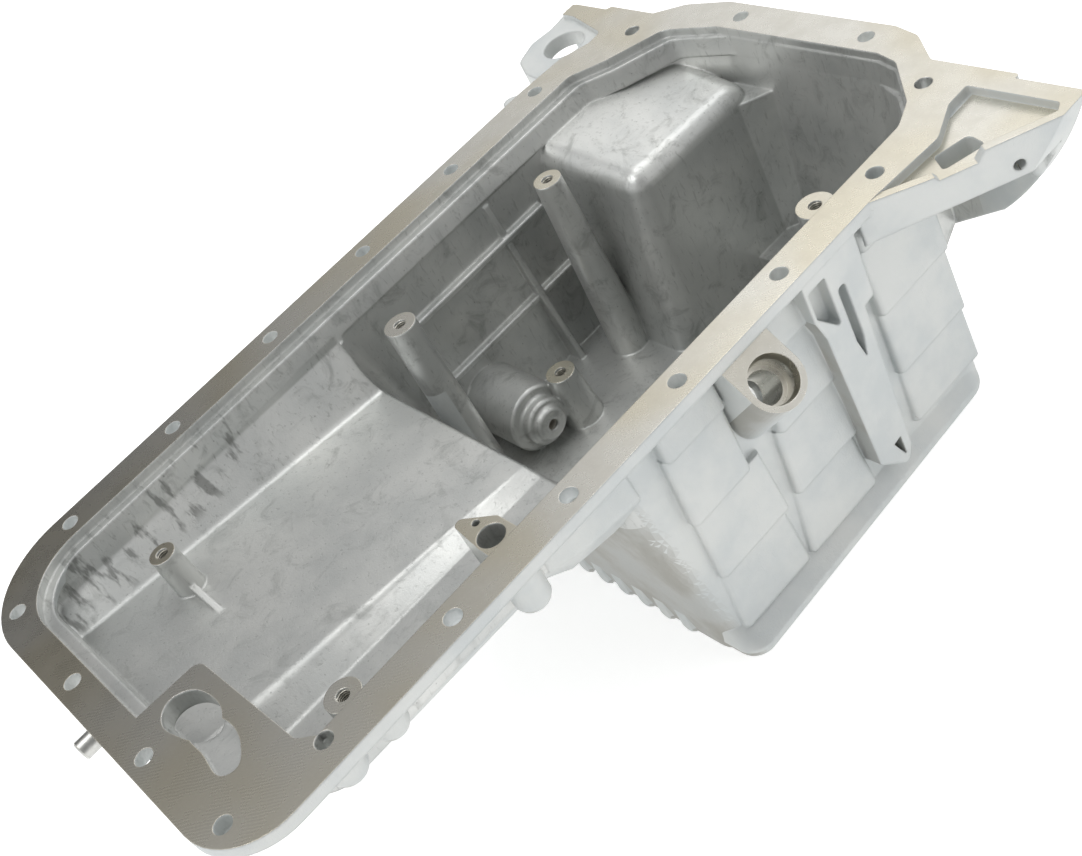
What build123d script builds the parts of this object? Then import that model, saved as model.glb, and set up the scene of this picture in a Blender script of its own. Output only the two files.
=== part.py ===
"""Engine oil pan: one aluminium casting with a cored inside, and a pressed locating pin.

Millimetres. The joint face of the flange is z = 0 and the pan hangs below it.
+X runs from the shallow tray to the deep sump and the gearbox end, +Y to the left side.
"""
import os
from math import hypot, sqrt

from build123d import *

# Joint flange
FLANGE_THICK = 7.0
SIDE_EDGE = 134.0
FRONT_EDGE = -236.0
BOLT_RADIUS = 4.5
BOLT_PITCH = 70.0
BOLT_ROW = 123.7
BOLT_DEPTH = FLANGE_THICK + 0.2
EDGE_BREAK = 0.8

# Walls
WALL = 5.0
LEDGE_Z = -5.2
BAND_Z = -19.0
LEFT_LEDGE = 6.0
LEFT_BAND = 9.5
SLIGHT_IN = 1.5

# Opening in the joint face
OPEN_LEFT = 113.5
OPEN_RIGHT = -114.0
OPEN_FRONT = -218.0
OPEN_REAR = 251.5

# Tray
TRAY_FRONT = -211.0
TRAY_REAR = -12.0
TRAY_FLOOR_FRONT = -31.0
TRAY_FLOOR_REAR = -50.0
TROUGH_FRONT = -46.0
TROUGH_REAR = -50.6

# Sump
SUMP_FRONT_TOP = -16.5
SUMP_FRONT_DEEP = 4.0
SUMP_REAR_TOP = 205.0
SUMP_REAR_DEEP = 201.0
SUMP_LEFT_DEEP = 95.5
SUMP_RIGHT_DEEP = -112.0
SHELF_FLOOR = -135.0
DEEP_FLOOR = -159.0
SHELF_EDGE = 25.0
DEEP_EDGE = -35.0
UNDERSIDE = -165.0
FLOOR_SKIN = 5.0

# Rear chamber and gearbox flange plate
CHAMBER_FLOOR = -122.0
BELL_FRONT = 240.0
BELL_THICK = 10.0
BELL_RADIUS = 199.0
BELL_CENTRE_Z = 74.0

# Tapped posts
POST_TOP = -10.0
TAP_RADIUS = 3.4
TAP_DEPTH = 18.0

# Locating pin
PIN_RADIUS = 5.0
PIN_Y = -3.0
PIN_Z = -10.0
PIN_END = -244.7
PIN_LENGTH = 20.0
PIN_GAP = 0.02


def closed_outline(rows):
    """Draw a closed outline; each row is x, y and the radius of that corner."""
    FilletPolyline(*[(x, y) for x, y, r in rows], radius=[r for x, y, r in rows], close=True)


def opening_rows(left, front, right, rear, corner):
    """Outline of the opening, drawn in by an amount on each side, with its front corner radius."""
    return (
        (OPEN_FRONT + front, OPEN_LEFT - left, corner),
        (OPEN_FRONT + front, OPEN_RIGHT + right, 0.75 * corner),
        (206.0, OPEN_RIGHT + right, 12.0),
        (222.5, -106.5 + right, 8.0),
        (247.5 - rear, -81.0 + right, 10.0),
        (OPEN_REAR - rear, -66.0 + right, 6.0),
        (OPEN_REAR - rear, 46.0 - left, 12.0),
        (242.0 - rear, 79.5 - left, 10.0),
        (210.0, 97.0 - left, 10.0),
        (192.0, 111.0 - left, 12.0),
    )


def flange_plate():
    """Flat plate of the joint flange with its whole outer outline."""
    with BuildPart() as plate:
        with BuildSketch():
            with BuildLine():
                closed_outline((
                    (FRONT_EDGE, SIDE_EDGE - 0.5, 55.0),
                    (FRONT_EDGE, -SIDE_EDGE, 35.0),
                    (160.0, -SIDE_EDGE, 20.0),
                    (204.0, -138.0, 10.0),
                    (226.0, -128.0, 6.0),
                    (241.0, -128.0, 3.0),
                    (241.0, -148.0, 1.0),
                    (253.2, -148.0, 1.5),
                    (253.2, -98.0, 4.0),
                    (268.5, -79.0, 8.0),
                    (272.7, -62.0, 10.0),
                    (272.7, 54.0, 12.0),
                    (265.0, 82.0, 12.0),
                    (253.5, 99.0, 3.0),
                    (253.5, 135.0, 2.0),
                    (250.5, 137.0, 1.0),
                    (250.5, 165.0, 2.0),
                    (243.0, 167.5, 2.0),
                    (231.0, 123.0, 4.0),
                    (221.0, 122.5, 5.0),
                    (204.0, 131.0, 8.0),
                    (172.0, SIDE_EDGE - 0.5, 20.0),
                ))
            make_face()
        extrude(amount=-FLANGE_THICK)
    return plate.part


def tray_rows(floor, trough, top, grow):
    """Cross-section of the tray, across y and z, grown outwards for the outside."""
    return (
        (104.0 + grow, top, 0.0),
        (104.0 + grow, BAND_Z, 3.0),
        (88.0 + 0.6 * grow, floor - grow, 5.0),
        (-36.0 - 0.4 * grow, floor - grow, 10.0),
        (-49.0 - 0.4 * grow, trough - grow - 0.5, 4.0),
        (-84.0 - 2.2 * grow, trough - grow, 10.0),
        (-98.5 - 3.5 * grow, -29.5 - 0.2 * grow, 1.2 * grow),
        (-112.0 - grow, -14.0, 0.0),
        (-113.0 - grow, top, 0.0),
    )


def tray_body(front, rear, top, grow, corner):
    """Tray loft with its rounded front corners, solid."""
    with BuildPart() as body:
        with BuildSketch(Plane.YZ.offset(front)):
            with BuildLine():
                closed_outline(tray_rows(TRAY_FLOOR_FRONT, TROUGH_FRONT, top, grow))
            make_face()
        with BuildSketch(Plane.YZ.offset(rear)):
            with BuildLine():
                closed_outline(tray_rows(TRAY_FLOOR_REAR, TROUGH_REAR, top, grow))
            make_face()
        loft()
        with BuildSketch(Plane.XY.offset(top)):
            with BuildLine():
                closed_outline((
                    (front, 104.0 + grow, corner),
                    (front, -62.0 - 0.45 * grow, 1.5 * corner),
                    (-150.0 - 0.36 * grow, -113.0 - grow, 2.0 * corner),
                    (rear, -113.0 - grow, 0.0),
                    (rear, 104.0 + grow, 0.0),
                ))
            make_face()
        extrude(amount=-100.0, mode=Mode.INTERSECT)
    return body.part


def tray_shoulder():
    """Shallow square corner of the tray under the flange, above its cut-off lower corner."""
    with BuildPart() as shoulder:
        with BuildSketch(Plane.XY.offset(BAND_Z - WALL)):
            with BuildLine():
                closed_outline((
                    (TRAY_FRONT - WALL, -40.0, 0.0),
                    (TRAY_FRONT - WALL, -116.0, 10.0),
                    (-120.0, -116.0, 0.0),
                    (-120.0, -40.0, 0.0),
                ))
            make_face()
        extrude(amount=WALL - BAND_Z - 4.0)
    return shoulder.part


HAUNCH = (
    (-58.0, (-116.5, -30.5), (-106.0, -41.0), (-95.0, -51.0)),
    (-39.0, (-119.3, -34.5), (-108.8, -47.5), (-89.5, -67.5)),
    (-6.0, (-121.0, -36.0), (-110.5, -51.0), (-88.0, -74.0)),
)


def tray_haunch():
    """Thick haunch under the tray where its right wall turns down into the front wall of the sump."""
    with BuildPart() as haunch:
        for x, high, middle, low in HAUNCH:
            with BuildSketch(Plane.YZ.offset(x)):
                with BuildLine():
                    closed_outline((
                        (-118.0, -10.0, 0.0),
                        (*high, 5.0),
                        (*middle, 5.0),
                        (*low, 5.0),
                        (-60.0, low[1] - 1.0, 0.0),
                        (-60.0, -10.0, 0.0),
                    ))
                make_face()
        loft(ruled=True)
    return haunch.part


def sump_foot():
    """Foot that flares out at the bottom of the right wall, with its rounded lower edge."""
    with BuildPart() as foot:
        for top, side, rear, rear_side in ((-145.0, -121.5, 200.5, -121.5), (-156.0, -135.5, 201.5, -127.5)):
            with BuildSketch(Plane.XY.offset(top)):
                with BuildLine():
                    closed_outline((
                        (-1.0, -80.0, 0.0), (-1.0, side, 12.0), (rear, rear_side, 14.0), (rear, -80.0, 0.0),
                    ))
                make_face()
        loft()
        extrude(foot.faces().sort_by(Axis.Z)[0], amount=-156.0 - UNDERSIDE)
        low = foot.edges().group_by(Axis.Z)[0].filter_by(lambda e: e.center().Y < -90.0)
        fillet(low, radius=7.0)
    return foot.part


def sump_body(top, floor, grow, shelf, deep, corner):
    """Tapered sump block with the raised left shelf cut off below it, solid."""
    with BuildPart() as body:
        with BuildSketch(Plane.XY.offset(top)):
            with BuildLine():
                closed_outline((
                    (SUMP_FRONT_TOP - grow, 104.0 + grow, corner),
                    (SUMP_FRONT_TOP - grow, -113.0 - grow, corner),
                    (SUMP_REAR_TOP + grow, -113.0 - grow, corner),
                    (SUMP_REAR_TOP + grow, 104.0 + grow, corner),
                ))
            make_face()
        with BuildSketch(Plane.XY.offset(floor)):
            with BuildLine():
                closed_outline((
                    (SUMP_FRONT_DEEP - grow, SUMP_LEFT_DEEP + grow, corner),
                    (SUMP_FRONT_DEEP - grow, SUMP_RIGHT_DEEP - 2.4 * grow, corner),
                    (SUMP_REAR_DEEP + grow, SUMP_RIGHT_DEEP - 2.4 * grow, corner),
                    (SUMP_REAR_DEEP + grow, SUMP_LEFT_DEEP + grow, corner),
                ))
            make_face()
        loft()
        with BuildSketch(Plane.YZ.offset(-60.0)):
            with BuildLine():
                closed_outline((
                    (130.0, shelf, 0.0),
                    (SHELF_EDGE, shelf, 12.0),
                    (DEEP_EDGE, deep, 12.0),
                    (-140.0, deep, 0.0),
                    (-140.0, floor - 20.0, 0.0),
                    (130.0, floor - 20.0, 0.0),
                ))
            make_face()
        extrude(amount=320.0, mode=Mode.SUBTRACT)
    return body.part


def chamber_body(grow, top, floor):
    """Rear chamber below the crank seal, solid; it narrows downwards."""
    with BuildPart() as body:
        with BuildSketch(Plane.XY.offset(top)):
            with BuildLine():
                closed_outline((
                    (188.0, -107.0 - 2.0 * grow, 0.0),
                    (206.0, -105.0 - 2.4 * grow, 1.6 * grow),
                    (220.0 + grow, -103.5 - 1.1 * grow, 8.0),
                    (244.0 + 1.1 * grow, -79.0 - 0.9 * grow, 10.0),
                    (250.2 + grow, -64.0, 8.0),
                    (250.2 + grow, 44.0, 10.0),
                    (239.0 + grow, 77.0 + grow, 10.0),
                    (206.0, 95.0 + grow, 10.0),
                    (188.0, 100.0 + grow, 0.0),
                ))
            make_face()
        with BuildSketch(Plane.XY.offset(floor)):
            with BuildLine():
                closed_outline((
                    (188.0, -88.0 - grow, 0.0),
                    (202.0, -86.5 - 1.3 * grow, 1.6 * grow),
                    (212.0, -84.0 - grow, 8.0),
                    (232.0 + grow, -66.0 - grow, 10.0),
                    (238.0 + grow, -54.0, 8.0),
                    (238.0 + grow, 36.0, 10.0),
                    (229.0 + grow, 66.0 + grow, 10.0),
                    (204.0, 84.0 + grow, 10.0),
                    (188.0, 88.0 + grow, 0.0),
                ))
            make_face()
        loft()
    return body.part


def bell_plate():
    """Arc-shaped plate that bolts to the gearbox housing, with columns on its front face."""
    with BuildPart() as plate:
        with BuildSketch(Plane.YZ.offset(BELL_FRONT)):
            with BuildLine():
                closed_outline((
                    (-186.0, 0.0, 0.0),
                    (166.5, 0.0, 0.0),
                    (166.5, -140.0, 0.0),
                    (-186.0, -140.0, 0.0),
                ))
            make_face()
            with Locations((0.0, BELL_CENTRE_Z)):
                Circle(BELL_RADIUS, mode=Mode.INTERSECT)
            with BuildLine():
                closed_outline((
                    (-130.0, -76.3, 0.0),
                    (-84.0, -101.6, 3.0),
                    (-80.0, -112.0, 0.0),
                    (-80.0, -140.0, 0.0),
                    (-130.0, -140.0, 0.0),
                ))
            make_face(mode=Mode.SUBTRACT)
        extrude(amount=BELL_THICK)
        with BuildSketch(Plane.XY.offset(-44.0)):
            with Locations((BELL_FRONT, -157.5), (BELL_FRONT, 150.0)):
                Circle(4.5)
        extrude(amount=44.0 - FLANGE_THICK)
        with BuildSketch(Plane.XY.offset(-30.0)):
            with Locations((BELL_FRONT, -169.0)):
                Circle(4.0)
        extrude(amount=30.0 - FLANGE_THICK)
        with BuildSketch(Plane.YZ.offset(BELL_FRONT - BELL_THICK)):
            with Locations((0.0, BELL_CENTRE_Z)):
                Circle(BELL_RADIUS)
        extrude(amount=2.0 * BELL_THICK, mode=Mode.INTERSECT)
    return plate.part


def bell_webs():
    """Upright webs that tie the gearbox plate to the rear wall of the sump."""
    with BuildPart() as webs:
        for y, foot in ((-94.0, -92.0), (-45.0, -112.0), (45.0, -112.0), (86.0, -96.0)):
            with BuildSketch(Plane.XZ.offset(-y)):
                with BuildLine():
                    Polyline((200.0, -14.0), (242.0, -14.0), (242.0, foot), (200.0, foot - 30.0), close=True)
                make_face()
            extrude(amount=2.5, both=True)
    return webs.part


WING_FOOT = (158.3, -135.0)
WING_TIP = (236.0, -187.0)
WING_WALL = 4.5
WING_WEB = -5.0
WING_LOW = -22.0


def wing_body():
    """Corner wing between the flange and the gearbox plate, with its pockets."""
    length = hypot(WING_TIP[0] - WING_FOOT[0], WING_TIP[1] - WING_FOOT[1])
    along = ((WING_TIP[0] - WING_FOOT[0]) / length, (WING_TIP[1] - WING_FOOT[1]) / length)
    wall_plane = Plane(origin=(*WING_FOOT, 0.0), x_dir=(*along, 0.0), z_dir=(along[1], -along[0], 0.0))
    with BuildPart() as wing:
        with BuildSketch(Plane.XY.offset(WING_LOW)):
            with BuildLine():
                closed_outline((
                    (150.0, -130.0, 0.0),
                    (WING_FOOT[0], WING_FOOT[1], 4.0),
                    (WING_TIP[0], WING_TIP[1], 3.0),
                    (247.3, -186.0, 4.0),
                    (BELL_FRONT + BELL_THICK, -176.0, 2.0),
                    (BELL_FRONT + BELL_THICK, -120.0, 0.0),
                ))
            make_face()
        extrude(amount=WING_WEB - WING_LOW)
        with BuildSketch(wall_plane):
            with BuildLine():
                Polyline(
                    (-4.0, 0.0), (29.0, -2.6), (33.0, -8.2), (40.0, -6.8), (48.0, -5.8), (53.0, 0.0),
                    (length - 3.0, 0.0), (length - 3.0, WING_LOW), (26.0, -21.0), (9.0, -16.0),
                    (-4.0, -12.0), close=True,
                )
            make_face()
        extrude(amount=-WING_WALL)
        with BuildSketch(Plane.XY.offset(WING_LOW)):
            with BuildLine():
                closed_outline((
                    (WING_TIP[0], WING_TIP[1], 2.0),
                    (247.3, -186.0, 4.0),
                    (BELL_FRONT + BELL_THICK, -176.0, 2.0),
                    (BELL_FRONT + BELL_THICK, -120.0, 0.0),
                    (BELL_FRONT, -120.0, 0.0),
                    (BELL_FRONT, -178.0, 3.0),
                    (231.0, -182.0, 2.0),
                ))
            make_face()
        extrude(amount=-WING_LOW)
        with BuildSketch(Plane.XY.offset(WING_WEB)):
            with BuildLine():
                closed_outline((
                    (196.5, -139.5, 2.0),
                    (214.5, -146.0, 3.0),
                    (211.0, -158.0, 3.0),
                    (190.0, -149.5, 2.0),
                ))
            make_face()
        extrude(amount=WING_LOW - WING_WEB + 4.0, taper=6.0, mode=Mode.SUBTRACT)
        with BuildSketch(Plane.XY.offset(WING_LOW)):
            with BuildLine():
                closed_outline((
                    (219.5, -146.0, 4.0),
                    (236.5, -146.0, 4.0),
                    (236.5, -176.0, 4.0),
                    (218.0, -166.0, 4.0),
                ))
            make_face()
        extrude(amount=WING_WEB - WING_LOW - WALL, taper=4.0, mode=Mode.SUBTRACT)
        with BuildSketch(wall_plane):
            with Locations((66.0, -15.5)):
                Circle(3.0)
        extrude(amount=-9.0, mode=Mode.SUBTRACT)
        with BuildSketch(Plane.YZ.offset(140.0)):
            with Locations((0.0, BELL_CENTRE_Z)):
                Circle(BELL_RADIUS)
        extrude(amount=120.0, mode=Mode.INTERSECT)
    return wing.part


def side_lugs():
    """Ring lug and small three-cornered lug on the left rear of the flange."""
    with BuildPart() as lugs:
        with BuildSketch(Plane.XY.offset(-3.0)):
            with BuildLine():
                closed_outline((
                    (186.0, 125.0, 0.0),
                    (189.5, 150.0, 10.0),
                    (197.0, 164.0, 10.0),
                    (214.0, 170.0, 10.0),
                    (229.0, 167.5, 10.0),
                    (246.0, 170.0, 3.0),
                    (246.0, 125.0, 0.0),
                ))
            make_face()
            with Locations((218.5, 144.5)):
                Circle(13.0, mode=Mode.SUBTRACT)
        extrude(amount=-9.0)
        with BuildSketch(Plane.XY.offset(-3.0)):
            with BuildLine():
                closed_outline((
                    (159.0, 130.0, 0.0),
                    (164.0, 149.0, 5.0),
                    (178.0, 130.0, 0.0),
                ))
            make_face()
        extrude(amount=-9.0)
    return lugs.part


def bolt_places():
    """Centres of all the flange bolt holes."""
    sides = [(BOLT_PITCH * (n - 2.5), side * BOLT_ROW) for n in range(6) for side in (1, -1)]
    sides.remove((-2.5 * BOLT_PITCH, -BOLT_ROW))
    return sides + [
        ODD_BOLT,
        (236.8, 100.7), (262.2, 36.7), (261.7, -51.5), (236.6, -105.8),
        (-222.8, -110.5), (-226.7, -48.1), (-226.6, 24.7), (-222.7, 96.9),
    ]


ODD_BOLT = (-174.1, -118.6)
ODD_KNOB_DEPTH = 24.0
KNOBS = ((-71.5, -121.2, 8.8, 31.0), (-150.0, -118.5, 8.0, 25.0), (*ODD_BOLT, 9.0, ODD_KNOB_DEPTH))


def flange_knob(x, y, radius, depth):
    """Round-ended knob under the right edge of the flange; one backs the odd front bolt hole."""
    with BuildPart() as knob:
        with BuildSketch(Plane(origin=(x, y, 0.0), x_dir=(1.0, 0.0, 0.0), z_dir=(0.0, -1.0, 0.0))):
            with BuildLine():
                Polyline(
                    (0.0, -2.0), (radius, -2.0), (radius, 3.6 - depth), (radius - 1.1, 1.3 - depth),
                    (radius - 3.6, -depth), (0.0, -depth), close=True,
                )
            make_face()
        revolve(axis=Axis((x, y, 0.0), (0.0, 0.0, 1.0)))
    return knob.part


def bolt_holes():
    """Clearance holes through the flange and its bosses."""
    with BuildPart() as holes:
        with BuildSketch(Plane.XY.offset(1.0)):
            with Locations(*bolt_places()):
                Circle(BOLT_RADIUS)
        extrude(amount=-BOLT_DEPTH - 1.0)
        with BuildSketch():
            with Locations(ODD_BOLT):
                Circle(BOLT_RADIUS)
        extrude(amount=-ODD_KNOB_DEPTH - 1.0)
    return holes.part


BEAD_PITCH = 16.0
BEAD_FIRST = -87.0
BEAD_COUNT = 12
WIDE_BEADS = 6
WIDE_BEAD = 5.5
THIN_BEAD = 3.0
BEAD_START = -3.0
BEAD_LENGTH = 196.0


def underside_beads():
    """Long round-edged beads under the sump floor; their tips make the plane that the pan rests on."""
    with BuildPart() as beads:
        with BuildSketch(Plane.YZ.offset(BEAD_START)):
            for n in range(BEAD_COUNT):
                radius = WIDE_BEAD if n < WIDE_BEADS else THIN_BEAD
                depth = 20.0 if n < WIDE_BEADS else 32.0
                with Locations((BEAD_FIRST + BEAD_PITCH * n, UNDERSIDE + radius)):
                    Circle(radius)
                with Locations((BEAD_FIRST + BEAD_PITCH * n, UNDERSIDE + radius + depth / 2.0)):
                    Rectangle(2.0 * radius, depth)
        extrude(amount=BEAD_LENGTH)
        chamfer(beads.edges().filter_by(GeomType.CIRCLE).group_by(Axis.X)[0], length=1.6)
    return beads.part


WALL_FOOT = -114.5
STEP_TOP = -123.5
STEP_END = -127.0


def shingle_stack(ends, lefts, rights):
    """Cast steps that overhang like shingles down the right wall; edges are given top and bottom."""
    with BuildPart() as stack:
        for top, end, left, right in zip((-FLANGE_THICK + 1.0,) + ends[:-1], ends, lefts, rights):
            with BuildSketch(Plane.XY.offset(top)):
                with BuildLine():
                    closed_outline((
                        (left[0], WALL_FOOT, 0.0), (left[0], STEP_TOP, 2.5),
                        (right[0], STEP_TOP, 2.5), (right[0], WALL_FOOT, 0.0),
                    ))
                make_face()
            with BuildSketch(Plane.XY.offset(end)):
                with BuildLine():
                    closed_outline((
                        (left[1], WALL_FOOT, 0.0), (left[1], STEP_END, 3.5),
                        (right[1], STEP_END, 3.5), (right[1], WALL_FOOT, 0.0),
                    ))
                make_face()
            loft()
    return stack.part


FRONT_STEPS = (-29.5, -70.0, -109.0, -147.0)
MIDDLE_STEPS = (-31.0, -70.5, -109.0, -147.0)
REAR_STEPS = (-28.0, -68.0, -107.0, -141.0)


PORT_CENTRE = (66.3, -144.7, -21.3)
PORT_HALF_WIDTH = 15.2
PORT_LENGTH = 62.0
PORT_RADIUS = 8.5
PORT_SEAT_RADIUS = 12.1
PORT_COUNTERBORE = 10.9
PORT_LEAD_IN = 5.0
PORT_SEAT_DEPTH = 14.0


def port_plane():
    """Sloping face of the port: it looks up and out from the right side of the pan."""
    return Plane(origin=PORT_CENTRE, x_dir=(1.0, 0.0, 0.0), z_dir=(0.0, -sqrt(0.5), sqrt(0.5)))


def port_boss():
    """Sloping boss with a round lower end that stands out from the wall under the flange."""
    with BuildPart() as boss:
        with BuildSketch(port_plane()):
            Circle(PORT_HALF_WIDTH)
            with Locations((0.0, 10.5)):
                Rectangle(2.0 * PORT_HALF_WIDTH, 21.0)
        extrude(amount=-PORT_LENGTH)
        with BuildSketch(Plane.XZ.offset(114.5)):
            with Locations((PORT_CENTRE[0], -60.0)):
                Rectangle(60.0, 140.0)
        extrude(amount=-60.0, mode=Mode.SUBTRACT)
    return boss.part


def port_bore():
    """Bore of the port with its wide seat and slight lead-in cone, right through into the sump."""
    with BuildPart() as bore:
        with BuildSketch(port_plane()):
            Circle(PORT_RADIUS)
        extrude(amount=-PORT_LENGTH)
        with BuildSketch(port_plane()):
            Circle(PORT_COUNTERBORE)
        extrude(amount=-PORT_SEAT_DEPTH)
        with BuildSketch(port_plane()):
            Circle(PORT_SEAT_RADIUS)
        with BuildSketch(port_plane().offset(-PORT_LEAD_IN)):
            Circle(PORT_COUNTERBORE)
        loft()
    return bore.part


BRACKET_FACE = 133.0


def bracket_pad():
    """Long bracket pad with its slot, window and ribs."""
    with BuildPart() as pad:
        with BuildSketch(Plane.XZ.offset(114.5)):
            with BuildLine():
                closed_outline((
                    (106.0, -6.0, 0.0), (144.0, -6.0, 0.0), (143.0, -44.5, 2.0), (135.8, -45.5, 1.0),
                    (133.4, -139.0, 3.0), (128.0, -149.0, 3.0), (111.0, -133.0, 3.0), (109.0, -42.0, 2.0),
                    (106.0, -30.0, 0.0),
                ))
            make_face()
        extrude(amount=BRACKET_FACE - 114.5)
        with BuildSketch(Plane.XZ.offset(BRACKET_FACE)):
            with BuildLine():
                closed_outline((
                    (120.0, -13.0, 1.5), (108.0, -13.0, 1.5), (108.0, -29.0, 1.5), (120.0, -44.0, 1.5),
                ))
            make_face()
            with BuildLine():
                closed_outline((
                    (124.3, -24.5, 2.4), (129.7, -24.5, 2.4), (129.7, -58.0, 0.0), (127.0, -71.6, 0.5),
                    (124.3, -58.0, 0.0),
                ))
            make_face()
            with BuildLine():
                closed_outline(((128.3, -129.0, 0.5), (122.9, -130.0, 0.5), (128.6, -143.8, 0.5)))
            make_face()
        extrude(amount=-7.0, mode=Mode.SUBTRACT)
    return pad.part


def hump_rows(grow, rear_limit):
    """Foot and top outlines of the hump, drawn in by an amount."""
    foot_rear = min(246.0 - grow, rear_limit)
    top_rear = min(249.0 - grow, rear_limit)
    foot = ((130.0 + grow, 22.0 + grow), (243.0 - grow, 22.0 + grow), (foot_rear, 112.0), (130.0 + grow, 112.0))
    top = ((158.0 + grow, 33.0 + grow), (245.0 - grow, 28.0 + grow), (top_rear, 112.0), (150.0 + grow, 112.0))
    return foot, top


def hump_body(grow, foot_z, top_z, edge, below, rear_limit):
    """Raised block in the left rear of the sump that clears the gearbox from below."""
    foot, top = hump_rows(grow, rear_limit)
    with BuildPart() as hump:
        with BuildSketch(Plane.XY.offset(foot_z)):
            with BuildLine():
                Polyline(*foot, close=True)
            make_face()
        with BuildSketch(Plane.XY.offset(0.0)):
            with BuildLine():
                Polyline(*top, close=True)
            make_face()
        loft()
        with BuildSketch(Plane.YZ.offset(100.0)):
            with BuildLine():
                Polyline((0.0, top_z - 4.0), (130.0, top_z + 14.5), (130.0, 10.0), (0.0, 10.0), close=True)
            make_face()
        extrude(amount=170.0, mode=Mode.SUBTRACT)
        near = hump.part.edges().filter_by(lambda e: e.center().Y < 105.0 and e.center().Z > foot_z + 5.0)
        fillet(near, radius=edge)
        with BuildSketch(Plane.XY.offset(foot_z)):
            with BuildLine():
                Polyline(*foot, close=True)
            make_face()
        extrude(amount=-below)
    return hump.part


HUMP_VALLEY = -35.5


def hump_corner():
    """Slanted filling of the corner between the hump and the rear wall, up to the valley floor."""
    with BuildPart() as filling:
        for z, left, wall_x, side in ((-130.0, 224.0, 241.0, 24.5), (HUMP_VALLEY, 229.0, 251.0, 28.5)):
            with BuildSketch(Plane.XY.offset(z)):
                with BuildLine():
                    Polyline((left, side), (wall_x, side - 0.7 * (wall_x - left)), (wall_x, 66.0),
                             (left, 66.0), close=True)
                make_face()
        loft()
    return filling.part


def post(x, y, top_radius, foot_radius, top_z, foot_z):
    """Tapered round post, later tapped from its top."""
    with BuildPart() as column:
        with BuildSketch(Plane.XY.offset(foot_z)):
            with Locations((x, y)):
                Circle(foot_radius)
        with BuildSketch(Plane.XY.offset(top_z)):
            with Locations((x, y)):
                Circle(top_radius)
        loft()
    return column.part


POSTS = (
    (-157.0, 63.0, 7.0, 8.0, POST_TOP, -42.0),
    (9.0, 64.0, 9.0, 10.0, POST_TOP, -139.0),
    (125.5, 66.6, 8.0, 12.0, POST_TOP, -139.0),
    (69.0, 52.0, 8.7, 12.5, -100.0, -139.0),
    (-155.0, -98.0, 9.0, 9.0, POST_TOP, -52.0),
    (156.0, -99.4, 9.5, 14.0, POST_TOP, -162.0),
)


def post_taps():
    """Threaded holes in the post tops, at the thread's core size, and the bores of the tray boss."""
    with BuildPart() as taps:
        with BuildSketch(Plane.XY.offset(POST_TOP + 1.0)):
            with Locations((-64.0, -96.0)):
                Circle(7.0)
            with Locations((-62.7, -83.5)):
                Circle(2.0)
        extrude(amount=-26.0)
        for x, y, top_radius, foot_radius, top_z, foot_z in POSTS:
            with BuildSketch(Plane.XY.offset(top_z + 1.0)):
                with Locations((x, y)):
                    Circle(TAP_RADIUS)
            extrude(amount=-TAP_DEPTH - 1.0)
    return taps.part


def inside_ribs():
    """Ribs, flares and bosses cast on the inside walls."""
    with BuildPart() as ribs:
        with BuildSketch(Plane.YZ.offset(30.0)):
            for z, wall_y in ((-42.0, 102.5), (-85.0, 100.0)):
                with BuildLine():
                    closed_outline((
                        (wall_y + 4.0, z + 1.0, 0.0), (wall_y - 4.5, z, 0.8), (wall_y - 4.5, z - 3.0, 0.8),
                        (wall_y + 4.0, z - 7.0, 0.0),
                    ))
                make_face()
        extrude(amount=103.0)
        with BuildSketch(Plane.YZ.offset(101.0)):
            with BuildLine():
                Polyline((103.0, -20.0), (86.0, -138.0), (106.0, -138.0), (106.0, -20.0), close=True)
            make_face()
        extrude(amount=4.0)
        with BuildSketch(Plane.YZ.offset(-159.0)):
            with BuildLine():
                Polyline((59.0, -22.0), (57.0, -30.0), (31.0, -36.0), (31.0, -42.0), (63.0, -42.0), (63.0, -22.0),
                         close=True)
            make_face()
        extrude(amount=3.5)
        with BuildSketch(Plane.XY.offset(-52.0)):
            with BuildLine():
                closed_outline((
                    (-68.5, -69.0, 3.0), (-54.5, -90.0, 4.0), (-54.5, -112.0, 0.0), (-72.5, -112.0, 0.0),
                    (-72.0, -96.0, 3.0),
                ))
            make_face()
        extrude(amount=52.0 + POST_TOP)
    return ribs.part


STEP_X = 46.0
STEP_Z = -117.0


def stepped_boss():
    """Three-step round boss that grows out of the left wall low in the sump."""
    with BuildPart() as boss:
        for radius, end_y in ((20.0, 56.0), (14.0, 48.0), (10.0, 44.0)):
            with BuildSketch(Plane.XZ.offset(-end_y)):
                with Locations((STEP_X, STEP_Z)):
                    Circle(radius)
            extrude(amount=end_y - 101.0)
        rims = boss.edges().filter_by(GeomType.CIRCLE).filter_by_position(Axis.Y, 43.0, 57.0)
        chamfer(rims, length=1.4)
        with BuildSketch(Plane.XZ.offset(-43.0)):
            with Locations((STEP_X, STEP_Z)):
                Circle(TAP_RADIUS)
        extrude(amount=-TAP_DEPTH - 1.0, mode=Mode.SUBTRACT)
    return boss.part


CORNER_HOLE = (
    (-210.5, -37.4), (-203.2, -33.6), (-194.7, -38.3), (-190.6, -50.1),
    (-192.4, -63.3), (-198.5, -69.0), (-206.5, -65.3), (-212.0, -52.0),
)


CORNER_RELIEF = (
    (-196.0, -60.0), (-193.5, -74.0), (-198.0, -88.0), (-204.5, -93.5), (-209.0, -92.0), (-209.5, -72.0),
    (-207.0, -58.0),
)


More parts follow.
